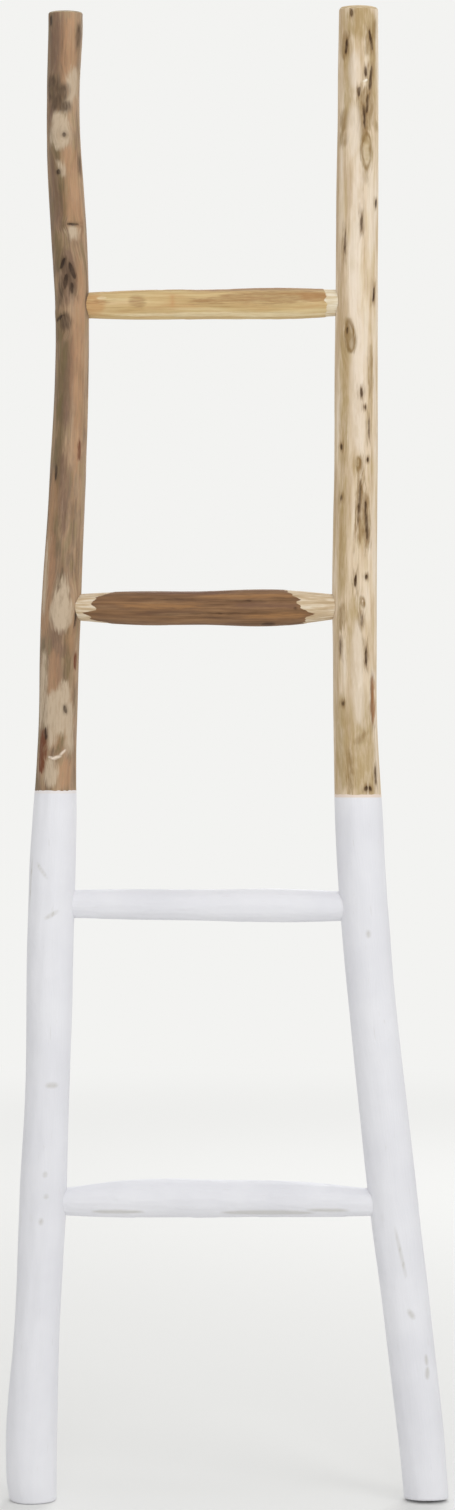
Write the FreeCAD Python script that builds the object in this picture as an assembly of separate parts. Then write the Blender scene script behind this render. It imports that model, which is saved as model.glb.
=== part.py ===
import FreeCAD, Part
import os

# A blanket ladder of peeled branches: two upright poles and four whittled rungs.
# Each rung ends in a round tenon that is glued into a blind mortise in a pole and
# held by one countersunk wood screw, driven through the pole from the wall side.
#
# Millimetres.  +X is to the right and the ladder's front faces -Y.  +Z is up, with
# the floor at zero, midway between the outer sides of the two poles.

# ---------------------------------------------------------------- heights
FLOOR_TO_BOTTOM_RUNG = 299.3
BOTTOM_TO_THIRD_RUNG = 298.9
THIRD_TO_SECOND_RUNG = 297.4
SECOND_TO_TOP_RUNG = 302.7
TOP_RUNG_TO_LEFT_END = 295.2
TOP_RUNG_TO_RIGHT_END = 301.7
LEFT_FOOT_SWELL = 34.0
RIGHT_FOOT_SWELL = 72.0

FLOOR = 0.0
BOTTOM_RUNG = FLOOR + FLOOR_TO_BOTTOM_RUNG
THIRD_RUNG = BOTTOM_RUNG + BOTTOM_TO_THIRD_RUNG
SECOND_RUNG = THIRD_RUNG + THIRD_TO_SECOND_RUNG
TOP_RUNG = SECOND_RUNG + SECOND_TO_TOP_RUNG
LEFT_END = TOP_RUNG + TOP_RUNG_TO_LEFT_END
RIGHT_END = TOP_RUNG + TOP_RUNG_TO_RIGHT_END


def between(low, high, share=0.5):
    """The height that lies this share of the way from low to high."""
    return low + (high - low) * share


# ---------------------------------------------------------------- poles
# One row is one cross-section of the branch, from the foot up:
# (height, centre to the right, centre to the back, diameter).
LEFT_POLE = [
    (FLOOR, -194.9, 0.0, 46.0),
    (LEFT_FOOT_SWELL, -196.8, 0.0, 50.0),
    (between(FLOOR, BOTTOM_RUNG), -192.4, 0.6, 46.4),
    (BOTTOM_RUNG, -185.2, 1.2, 45.4),
    (between(BOTTOM_RUNG, THIRD_RUNG), -179.6, 0.5, 44.2),
    (THIRD_RUNG, -176.8, -0.8, 45.8),
    (between(THIRD_RUNG, SECOND_RUNG, 0.25), -173.9, 0.5, 43.8),
    (between(THIRD_RUNG, SECOND_RUNG), -171.2, 2.5, 39.6),
    (SECOND_RUNG, -167.0, 3.5, 38.9),
    (between(SECOND_RUNG, TOP_RUNG, 0.25), -163.2, 2.6, 36.6),
    (between(SECOND_RUNG, TOP_RUNG), -159.4, 1.0, 35.1),
    (TOP_RUNG, -155.8, -3.0, 34.2),
    (between(TOP_RUNG, LEFT_END), -163.2, -5.5, 33.6),
    (between(TOP_RUNG, LEFT_END, 0.75), -164.4, -4.0, 32.3),
    (between(TOP_RUNG, LEFT_END, 0.88), -162.8, -2.6, 33.7),
    (LEFT_END, -162.6, -1.0, 34.2),
]
RIGHT_POLE = [
    (FLOOR, 199.5, 0.0, 44.8),
    (RIGHT_FOOT_SWELL, 193.4, -0.6, 45.8),
    (between(FLOOR, BOTTOM_RUNG), 184.8, -1.0, 46.4),
    (BOTTOM_RUNG, 166.6, -0.4, 47.9),
    (between(BOTTOM_RUNG, THIRD_RUNG), 150.4, 0.5, 48.2),
    (between(BOTTOM_RUNG, THIRD_RUNG, 0.75), 142.8, 0.8, 46.6),
    (THIRD_RUNG, 136.8, 1.0, 47.2),
    (between(THIRD_RUNG, SECOND_RUNG), 129.4, 1.0, 45.0),
    (SECOND_RUNG, 127.4, -1.0, 44.1),
    (between(SECOND_RUNG, TOP_RUNG), 128.9, -3.0, 43.1),
    (TOP_RUNG, 129.3, -2.5, 42.2),
    (between(TOP_RUNG, RIGHT_END), 130.9, 1.5, 41.6),
    (between(TOP_RUNG, RIGHT_END, 0.8), 131.6, 2.8, 40.0),
    (RIGHT_END, 131.5, 3.5, 38.8),
]
LEFT_RIM_RADIUS = 2.0
RIGHT_RIM_RADIUS = 4.0
FOOT_RIM_RADIUS = 2.5

# ---------------------------------------------------------------- rungs
# Diameters are listed from the left pole to the right one: at the left pole, at the
# left taper's end, midway, at the right taper's start and at the right pole.
# Rise is how much higher the right end is, and arch how far the middle bows up.
# Set-back is how far behind each pole's centre the left and the right tenon enter.
RUNGS = {
    "top_rung": {
        "height": TOP_RUNG, "rise": 3.0, "arch": 0.0,
        "diameters": (25.4, 28.8, 29.2, 29.4, 26.6), "tapers": (42.0, 26.0),
        "set_back": (3.5, 2.1),
    },
    "second_rung": {
        "height": SECOND_RUNG, "rise": 0.6, "arch": -0.9,
        "diameters": (27.4, 32.6, 33.6, 35.6, 25.8), "tapers": (44.0, 48.0),
        "set_back": (-0.8, 1.5),
    },
    "third_rung": {
        "height": THIRD_RUNG, "rise": -2.8, "arch": 0.2,
        "diameters": (27.6, 30.0, 31.2, 32.2, 29.0), "tapers": (56.0, 36.0),
        "set_back": (2.8, 2.6),
    },
    "bottom_rung": {
        "height": BOTTOM_RUNG, "rise": -0.5, "arch": 3.2,
        "diameters": (27.0, 35.6, 37.2, 34.0, 27.6), "tapers": (50.0, 58.0),
        "set_back": (2.2, 0.9),
    },
}

# ---------------------------------------------------------------- joints
TENON_DIAMETER = 18.0
TENON_PAST_AXIS = 8.0
TENON_END_CHAMFER = 1.5
MORTISE_SIDE_GAP = 0.15
MORTISE_END_GAP = 0.8
SHOULDER_GAP = 0.2

SCREW_LENGTH = 25.0
SCREW_DIAMETER = 4.0
SCREW_CORE_DIAMETER = 2.8
SCREW_THREAD_LENGTH = 16.0
SCREW_THREAD_PITCH = 1.8
SCREW_POINT_LENGTH = 4.0
SCREW_HEAD_DIAMETER = 8.0
SCREW_HEAD_EDGE = 0.4
SCREW_RECESS_WIDTH = 1.1
SCREW_RECESS_SPAN = 4.6
SCREW_RECESS_DEPTH = 1.7
SCREW_SINK = 0.6
SCREW_HOLE_GAP = 0.1

UP = FreeCAD.Vector(0, 0, 1)
TO_BACK = FreeCAD.Vector(0, 1, 0)


# ---------------------------------------------------------------- branches
def circle(centre, direction, diameter):
    return Part.Wire(Part.Circle(centre, direction, diameter / 2).toShape())


def pole_body(sections, extra=0.0):
    """The branch itself; extra is how far its bark side is let out all round."""
    wires = []
    for height, right, back, diameter in sections:
        centre = FreeCAD.Vector(right, back, height)
        wires.append(circle(centre, UP, diameter + 2 * extra))
    return Part.makeLoft(wires, True, False)


def end_edges(body, height):
    """The rim of the flat cut at this height."""
    rim = []
    for edge in body.Edges:
        box = edge.BoundBox
        if abs(box.ZMin - height) < 0.01 and abs(box.ZMax - height) < 0.01:
            rim.append(edge)
    return rim


def section_at(sections, height):
    """The centre and diameter of the cross-section at one of a pole's listed heights."""
    for level, right, back, diameter in sections:
        if level == height:
            return FreeCAD.Vector(right, back, level), diameter
    raise ValueError("the pole has no cross-section at this height")


class Rung:
    """Where one rung runs, from inside the left pole to inside the right pole."""

    def __init__(self, name):
        self.name = name
        self.sizes = RUNGS[name]
        self.left, self.left_pole = section_at(LEFT_POLE, self.sizes["height"])
        self.right, self.right_pole = section_at(RIGHT_POLE, self.sizes["height"])
        self.left_set_back, self.right_set_back = self.sizes["set_back"]
        self.left = self.left + TO_BACK * self.left_set_back
        self.right = self.right + TO_BACK * self.right_set_back + UP * self.sizes["rise"]
        self.along = (self.right - self.left).normalize()
        self.length = self.left.distanceToPoint(self.right)

    def stations(self):
        """(distance from the left pole's centre, share of the arch, diameter) rows."""
        left_end, left_full, middle, right_full, right_end = self.sizes["diameters"]
        left_taper, right_taper = self.sizes["tapers"]
        left_face = self.left_pole / 2
        right_face = self.length - self.right_pole / 2
        left_run_on = (left_full - left_end) * left_face / left_taper
        right_run_on = (right_full - right_end) * self.right_pole / 2 / right_taper
        return [
            (0.0, 0.0, left_end - left_run_on),
            (left_face, 0.0, left_end),
            (left_face + left_taper, 0.7, left_full),
            (self.length / 2, 1.0, middle),
            (right_face - right_taper, 0.7, right_full),
            (right_face, 0.0, right_end),
            (self.length, 0.0, right_end - right_run_on),
        ]

    def body(self):
        """The whittled stick, whose tapers run on into both poles."""
        wires = []
        for distance, bow, diameter in self.stations():
            centre = self.left + self.along * distance + UP * (self.sizes["arch"] * bow)
            wires.append(circle(centre, self.along, diameter))
        return Part.makeLoft(wires, True, False)

    def tenon(self, place, inwards, pole_diameter):
        """A round pin from past the pole's centre to well inside the rung."""
        tip = place - inwards * TENON_PAST_AXIS
        radius = TENON_DIAMETER / 2
        chamfer = Part.makeCone(radius - TENON_END_CHAMFER, radius, TENON_END_CHAMFER, tip, inwards)
        pin_start = tip + inwards * TENON_END_CHAMFER
        pin_length = TENON_PAST_AXIS - TENON_END_CHAMFER + pole_diameter / 2 + TENON_DIAMETER / 2
        pin = Part.makeCylinder(radius, pin_length, pin_start, inwards)
        return chamfer.fuse(pin)

    def mortise(self, place, inwards, pole_diameter):
        """The blind hole for one tenon, open on the pole's inner side."""
        bottom = place - inwards * (TENON_PAST_AXIS + MORTISE_END_GAP)
        depth = TENON_PAST_AXIS + MORTISE_END_GAP + pole_diameter
        radius = TENON_DIAMETER / 2 + MORTISE_SIDE_GAP
        return Part.makeCylinder(radius, depth, bottom, inwards)

    def ends(self):
        """For each end: its side, the tenon's place in the pole and its way into the
        rung, the pole's diameter, and the point on the pole's back for its screw."""
        left_depth = self.left_pole / 2 - self.left_set_back
        right_depth = self.right_pole / 2 - self.right_set_back
        left_back = self.left + TO_BACK * left_depth
        right_back = self.right + TO_BACK * right_depth
        return [
            ("left", self.left, self.along, self.left_pole, left_back),
            ("right", self.right, self.along * -1, self.right_pole, right_back),
        ]


# ---------------------------------------------------------------- screws
def spin(outline):
    """A solid turned about the screw's axis from (radius, depth) points."""
    points = [FreeCAD.Vector(radius, 0, -depth) for radius, depth in outline]
    points.append(points[0])
    face = Part.Face(Part.makePolygon(points))
    return face.revolve(FreeCAD.Vector(0, 0, 0), UP, 360)


def screw_outline():
    """Head, plain shank, ridged thread and point, from the head's centre round."""
    head = SCREW_HEAD_DIAMETER / 2
    shank = SCREW_DIAMETER / 2
    core = SCREW_CORE_DIAMETER / 2
    outline = [(0.0, 0.0), (head, 0.0), (head, SCREW_HEAD_EDGE)]
    outline.append((shank, SCREW_HEAD_EDGE + head - shank))
    thread_start = SCREW_LENGTH - SCREW_THREAD_LENGTH
    outline.append((shank, thread_start))
    outline.append((core, thread_start + shank - core))
    ridges = int((SCREW_THREAD_LENGTH - SCREW_POINT_LENGTH) / SCREW_THREAD_PITCH)
    for ridge in range(ridges):
        crest = thread_start + (ridge + 0.75) * SCREW_THREAD_PITCH
        outline.append((core, crest - SCREW_THREAD_PITCH / 4))
        outline.append((shank, crest))
        outline.append((core, crest + SCREW_THREAD_PITCH / 4))
    outline.append((core, SCREW_LENGTH - SCREW_POINT_LENGTH))
    outline.append((0.0, SCREW_LENGTH))
    return outline


def screw_body():
    """One countersunk wood screw, its head's top at the origin, pointing down."""
    body = spin(screw_outline())
    for turn in (0, 90):
        slot = Part.makeBox(SCREW_RECESS_SPAN, SCREW_RECESS_WIDTH, SCREW_RECESS_DEPTH * 2)
        slot.translate(FreeCAD.Vector(-SCREW_RECESS_SPAN / 2, -SCREW_RECESS_WIDTH / 2, -SCREW_RECESS_DEPTH))
        slot.rotate(FreeCAD.Vector(0, 0, 0), UP, turn)
        body = body.cut(slot)
    return body


def screw_hole():
    """The countersunk hole for one screw, with its gap, open above the head."""
    head = SCREW_HEAD_DIAMETER / 2 + SCREW_HOLE_GAP
    shank = SCREW_DIAMETER / 2 + SCREW_HOLE_GAP
    cone_top = SCREW_HEAD_EDGE + SCREW_HOLE_GAP
    bottom = SCREW_LENGTH + SCREW_HOLE_GAP
    outline = [
        (0.0, -SCREW_HEAD_DIAMETER),
        (head, -SCREW_HEAD_DIAMETER),
        (head, cone_top),
        (shank, cone_top + head - shank),
        (shank, bottom),
        (0.0, bottom),
    ]
    return spin(outline)


def driven(shape, back_point):
    """The screw or its hole, put where it goes into the pole's back."""
    placed = shape.copy()
    placed.rotate(FreeCAD.Vector(0, 0, 0), FreeCAD.Vector(1, 0, 0), -90)
    placed.translate(back_point - TO_BACK * SCREW_SINK)
    return placed


# ---------------------------------------------------------------- the ladder
def make_pole(sections, side, end_radius, rungs):
    body = pole_body(sections)
    body = body.makeFillet(end_radius, end_edges(body, sections[-1][0]))
    body = body.makeFillet(FOOT_RIM_RADIUS, end_edges(body, FLOOR))
    hole = screw_hole()
    for rung in rungs:
        for end_side, place, inwards, pole_diameter, back_point in rung.ends():
            if end_side == side:
                body = body.cut(rung.mortise(place, inwards, pole_diameter))
                body = body.cut(driven(hole, back_point))
    return body


def make_rung(rung, left_envelope, right_envelope):
    body = rung.body().cut(left_envelope).cut(right_envelope)
    hole = screw_hole()
    for _, place, inwards, pole_diameter, back_point in rung.ends():
        body = body.fuse(rung.tenon(place, inwards, pole_diameter))
        body = body.cut(driven(hole, back_point))
    return body


def main():
    os.makedirs("parts", exist_ok=True)
    rungs = [Rung(name) for name in RUNGS]
    nodes = {}
    nodes["left_pole"] = make_pole(LEFT_POLE, "left", LEFT_RIM_RADIUS, rungs)
    nodes["right_pole"] = make_pole(RIGHT_POLE, "right", RIGHT_RIM_RADIUS, rungs)
    left_envelope = pole_body(LEFT_POLE, SHOULDER_GAP)
    right_envelope = pole_body(RIGHT_POLE, SHOULDER_GAP)
    screw = screw_body()
    for rung in rungs:
        nodes[rung.name] = make_rung(rung, left_envelope, right_envelope)
        for side, _, _, _, back_point in rung.ends():
            nodes[rung.name + "_screw_" + side] = driven(screw, back_point)
    for name, shape in nodes.items():
        shape.exportStep("parts/" + name + ".step")
        box = shape.BoundBox
        print(name, len(shape.Solids), "solid", shape.isValid(), round(shape.Volume), "mm3",
              "z", round(box.ZMin, 1), round(box.ZMax, 1))


main()
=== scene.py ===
# %% [markdown]
# # A blanket ladder of peeled branches
#
# The real object is a ladder that leans on a wall and holds folded blankets.  Two peeled
# branches are its poles, and four whittled sticks are its rungs.  The upper part is bare
# wood, and the lower part was dipped in matt white paint up to a taped line.
#
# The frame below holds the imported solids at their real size.  This lesson never moves
# them.  It reads each branch's centre line and thickness from its solid, and makes a
# finer skin round the same line: knots, knife cuts, a taped paint edge and sawn ends.
# Everything is in metres in the scene, and in millimetres in the tables.

# %% Load the frame
import math

import bmesh
import bpy
import numpy as np
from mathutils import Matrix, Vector


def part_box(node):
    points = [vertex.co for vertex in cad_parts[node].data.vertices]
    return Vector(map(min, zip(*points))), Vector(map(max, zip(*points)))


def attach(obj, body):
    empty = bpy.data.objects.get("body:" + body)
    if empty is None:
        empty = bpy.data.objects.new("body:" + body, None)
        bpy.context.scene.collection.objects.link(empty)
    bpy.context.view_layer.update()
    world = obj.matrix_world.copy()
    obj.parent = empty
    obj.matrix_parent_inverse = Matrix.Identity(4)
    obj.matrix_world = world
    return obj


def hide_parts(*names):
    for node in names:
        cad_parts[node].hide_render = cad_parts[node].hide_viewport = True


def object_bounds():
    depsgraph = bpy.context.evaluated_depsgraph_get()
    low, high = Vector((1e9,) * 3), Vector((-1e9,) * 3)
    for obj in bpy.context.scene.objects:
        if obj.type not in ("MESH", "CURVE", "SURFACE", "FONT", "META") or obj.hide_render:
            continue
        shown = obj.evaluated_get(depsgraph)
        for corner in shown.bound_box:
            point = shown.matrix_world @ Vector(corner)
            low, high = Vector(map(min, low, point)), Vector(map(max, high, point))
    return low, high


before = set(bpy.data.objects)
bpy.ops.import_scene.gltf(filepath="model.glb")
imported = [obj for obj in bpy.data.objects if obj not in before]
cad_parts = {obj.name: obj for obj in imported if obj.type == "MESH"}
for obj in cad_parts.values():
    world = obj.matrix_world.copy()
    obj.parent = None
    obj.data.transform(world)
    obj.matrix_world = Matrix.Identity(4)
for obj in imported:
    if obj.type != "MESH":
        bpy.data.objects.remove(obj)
cad_low, cad_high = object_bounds()
MM = 0.001
RIGHT, UP = 0, 2
print("frame nodes:", len(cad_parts))
print("height of the ladder in mm:", round((cad_high.z - cad_low.z) / MM, 1))

# %% [markdown]
# ## Reading a branch from its solid
#
# A branch could be drawn again from a list of sizes, but then it could drift away from
# the solid that carries it.  So each solid is cut across at many places, and a circle is
# fitted to each cut.  A mortise or a screw hole lies inside that circle.  Its points are
# dropped as the fit is made again with a smaller tolerance.


# %% Cuts and circles
FIT_TOLERANCES = (3.0, 1.0, 0.5, 0.35)
RUN_ON_CUTS = 3


def read(items, field, kind=float):
    """A field of three numbers of each of a mesh's items, one row for each."""
    values = np.empty(len(items) * 3, dtype=kind)
    items.foreach_get(field, values)
    return values.reshape(-1, 3)


def corners_of(name):
    """The node's triangles in millimetres: triangle, corner, axis."""
    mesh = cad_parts[name].data
    mesh.calc_loop_triangles()
    return read(mesh.vertices, "co")[read(mesh.loop_triangles, "vertices", np.int32)] / MM


def cut_across(corners, axis, level):
    """The points where a flat cut meets the edges of the triangles."""
    found = []
    for start, end in ((0, 1), (1, 2), (2, 0)):
        one, two = corners[:, start], corners[:, end]
        crossed = (one[:, axis] - level) * (two[:, axis] - level) < 0
        one, two = one[crossed], two[crossed]
        share = (level - one[:, axis]) / (two[:, axis] - one[:, axis])
        found.append(one + share[:, None] * (two - one))
    return np.delete(np.concatenate(found), axis, axis=1)


def fit_circle(points):
    """Centre and radius of the outer circle of a cut, in millimetres."""
    middle = (points.max(0) + points.min(0)) / 2
    radius = np.ptp(points, axis=0).mean() / 2
    for tolerance in FIT_TOLERANCES:
        far = np.hypot(*(points - middle).T)
        kept = points[np.abs(far - radius) < tolerance]
        rows = np.column_stack((2 * kept, np.ones(len(kept))))
        answer = np.linalg.lstsq(rows, (kept**2).sum(1), rcond=None)[0]
        middle = answer[:2]
        radius = math.sqrt(answer[2] + middle @ middle)
    return middle[0], middle[1], radius


class Spine:
    """Centre line and radius of one branch, at any place along its axis."""

    def __init__(self, name, axis, first, last, step, low, high):
        corners = corners_of(name)
        levels = np.linspace(first, last, int((last - first) / step) + 1)
        rows = np.array([fit_circle(cut_across(corners, axis, level)) for level in levels])
        self.name = name
        self.low, self.high = low, high
        self.levels = np.concatenate(([low], levels, [high]))
        before = self.run_on(rows, levels, 0, RUN_ON_CUTS, low)
        after = self.run_on(rows, levels, -1, -1 - RUN_ON_CUTS, high)
        self.rows = np.vstack((before, rows, after))

    @staticmethod
    def run_on(rows, levels, end, inner, level):
        """The line through two cuts near an end, run on to a level past the last cut."""
        share = (level - levels[end]) / (levels[end] - levels[inner])
        return rows[end] + (rows[end] - rows[inner]) * share

    def at(self, level):
        """First centre, second centre and radius, for a number or an array."""
        return [np.interp(level, self.levels, column) for column in self.rows.T]

# %% The two poles' spines
CUT_STEP = 6.0
CUT_MARGIN = 6.0
spines = {}
for pole_name in ("left_pole", "right_pole"):
    pole_low, pole_high = (corner.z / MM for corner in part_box(pole_name))
    spines[pole_name] = Spine(pole_name, UP, pole_low + CUT_MARGIN, pole_high - CUT_MARGIN,
                              CUT_STEP, pole_low, pole_high)
    print(pole_name, "top at", round(pole_high, 1), "mm, radius at its middle",
          round(float(spines[pole_name].at(pole_high / 2)[2]), 1), "mm")

# %% [markdown]
# ## The skin of a branch
#
# A real branch isn't round.  It has long lumps where the trunk thickened, narrow flats
# that the peeling knife left, and mounds or dents round each knot.  One function gives
# the height of this relief at any place on the bark, so the skin, the rungs' coped ends
# and the knots all agree.  A place is given as a carpenter would measure it: the height
# above the floor in millimetres, and the turn round the pole in degrees, 0 at the front
# and positive to the right.
#
# The long lumps are a sum of waves that close on themselves round the branch.  Their
# random sizes come from a fixed seed, so each run gives the same ladder.


# %% Waves and mounds
def waves(turn, height, lobes, lengths, seed, count=14):
    """A smooth random relief between about -1 and 1, closed round the branch."""
    chance = np.random.default_rng(seed)
    total = np.zeros(np.broadcast(turn, height).shape)
    for _ in range(count):
        lobe = chance.integers(lobes[0], lobes[1] + 1)
        length = chance.uniform(*lengths)
        phase = chance.uniform(0, 2 * math.pi, 2)
        around = np.cos(np.radians(turn) * lobe + phase[0])
        along = np.cos(height * 2 * math.pi / length + phase[1])
        total += around * along
    return total / math.sqrt(count)


def wrapped(turn):
    """The same turn between -180 and 180 degrees."""
    return (turn + 180.0) % 360.0 - 180.0


def oval_distance(turn, height, row, radius):
    """Signed distance in mm to the edge of an oval on the bark, negative inside it.

    A row is height, turn, length up the branch, width across it and the lean of its top
    to the right in degrees.
    """
    middle, facing, length, width, lean = row
    across = np.radians(wrapped(turn - facing)) * radius
    up = height - middle
    slope = math.radians(lean)
    right = across * math.cos(slope) - up * math.sin(slope)
    top = across * math.sin(slope) + up * math.cos(slope)
    scaled = np.hypot(right / (width / 2), top / (length / 2))
    steep = np.hypot(right / (width / 2) ** 2, top / (length / 2) ** 2)
    return scaled * (scaled - 1) / np.maximum(steep, 1e-6)


def smooth(low, high, value):
    """Zero below low, one above high, and an even slope with soft ends between."""
    share = np.clip((value - low) / (high - low), 0, 1)
    return share * share * (3 - 2 * share)


# %% [markdown]
# ## What is on each pole
#
# These are the knots, scars and stains that make the two branches what they are, placed
# where the photo shows them.  A mound or a dent is a row of height, turn, length, width,
# lean and rise.  A mark is the same without the rise, and it belongs to the stain that
# it is made of.

# %% Left pole: relief and marks
PAINT_LINE = {"left_pole": 712.0, "right_pole": 708.0}

LEFT_RELIEF = [
    (1366, -12, 44, 26, 0, 1.3), (1366, 2, 14, 10, 0, -0.8), (1226, -10, 40, 30, 0, 1.6),
    (1240, -24, 12, 5, 20, -0.9), (1232, 6, 16, 5, -12, -0.9), (1218, -18, 12, 5, 0, -0.8),
    (1180, -44, 30, 10, -35, 0.8), (895, 8, 44, 28, 0, 1.0), (1406, -25, 36, 26, 0, -0.7),
    (753, -46, 46, 16, 0, 0.9), (747, 9, 8, 20, 0, 0.7), (1277, 18, 5, 16, 0, -0.5),
    (640, -40, 60, 30, 0, 0.8), (560, 30, 70, 26, 0, -0.6), (330, -20, 50, 30, 0, 0.9),
    (1020, 150, 40, 24, 0, 1.4), (560, 170, 50, 26, 0, 1.3), (1330, 140, 40, 20, 0, 1.2),
]
LEFT_MARKS = {
    "olive": [
        (1176, -42, 26, 8, 0), (1130, -20, 60, 12, 4), (1060, -34, 120, 9, 0),
        (970, -30, 50, 8, 0), (1346, -30, 34, 12, 0), (1312, -16, 50, 10, -4),
        (1251, -36, 40, 11, -5), (763, 8, 26, 9, 4), (852, -55, 8, 4, 0),
        (852, 30, 62, 9, 0), (1180, 150, 200, 16, 0), (900, -150, 160, 14, 0),
    ],
    "purple": [
        (1462, -30, 66, 14, 0), (1394, -52, 26, 8, 0), (1319, -40, 60, 6, -3),
        (1230, -2, 44, 14, -4), (1206, -12, 16, 6, 0), (1290, -30, 40, 10, 0),
        (1120, -4, 90, 8, 3), (1010, -10, 80, 9, -3), (866, -8, 32, 12, 0),
        (852, 6, 14, 12, 0), (836, -3, 44, 6, -2), (940, -38, 60, 8, 0),
        (1400, 160, 220, 18, 0), (1000, 175, 260, 14, 0),
    ],
    "brown": [
        (1414, -42, 24, 14, 0), (1404, -10, 26, 12, 28), (1395, 6, 10, 12, 0),
        (1222, 0, 30, 5, -12), (1210, -30, 22, 5, 8), (1180, -20, 14, 8, 0),
        (1199, 66, 18, 5, 0), (1466, 54, 20, 5, 0), (1337, 58, 14, 3, 0),
    ],
    "red": [
        (752, -42, 44, 9, 4), (742, -44, 24, 7, -4), (842, 58, 18, 5, 0), (1052, 40, 18, 4, 0),
    ],
    "scar": [(744.5, -10, 2, 8, 18), (745.5, 4, 2.6, 8, -14), (750, 19, 2, 8, -42)],
    "dark": [
        (1482, -56, 10, 3, 0), (1366, 4, 5, 4, 0), (1277, 18, 2, 12, 0), (1238, -24, 13, 4, 24),
        (1231, 6, 17, 4, -14), (1220, -16, 16, 3.5, 10), (1213, 4, 12, 3, 0),
        (1184, -40, 3, 10, -35), (793, 24, 8, 3, -14), (1030, -40, 16, 3, 0),
        (1329, -22, 5, 4, 0), (769, -32, 12, 3, -8), (888, 52, 24, 2.5, 6),
        (1090, 150, 22, 4, 8), (1300, 120, 16, 3, 0), (880, -120, 26, 4, -6),
        (329, 5, 5, 4, 0), (307, 10, 4, 4, 0), (282, 0, 6, 4, 0), (632, -24, 16, 2.4, -38),
        (620, -62, 40, 2, 4), (588, 4, 3, 14, -30), (418, 14, 5, 12, 0), (180, -140, 30, 6, 0),
    ],
    "pale": [
        (1372, -10, 36, 17, 0), (1366, -14, 28, 20, 0), (1418, 38, 30, 13, 4),
        (1405, 30, 40, 8, 20), (1333, -10, 12, 5, -14), (1269, 17, 13, 11, 0),
        (890, 4, 36, 22, 0), (912, 8, 26, 8, -6),
        (903, -8, 24, 8, 6), (813, -54, 76, 10, 3), (790, 2, 44, 26, 0), (786, -20, 46, 16, 0),
        (925, -60, 70, 5, 0),
        (782, 36, 36, 12, 0), (768, -14, 26, 8, 8), (764, 42, 26, 9, 0), (730, -14, 26, 12, 0),
        (806, 20, 30, 12, 0), (1060, 170, 60, 14, 0),
    ],
    "orange": [
        (1310, 24, 80, 13, 6), (1440, 28, 90, 10, 0), (1150, 20, 100, 10, 0),
        (1287, 38, 46, 10, 0), (729, 28, 26, 14, 0), (1450, 14, 66, 12, 0), (1339, 18, 30, 14, 0),
        (1200, 34, 80, 9, 0), (1090, 30, 120, 8, 0), (870, 40, 40, 8, 0), (822, -14, 56, 10, 0),
        (922, -56, 110, 20, 0), (1000, -48, 60, 10, 0),
        (765, -8, 18, 9, 0), (1250, 130, 160, 14, 0),
    ],
}

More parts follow.
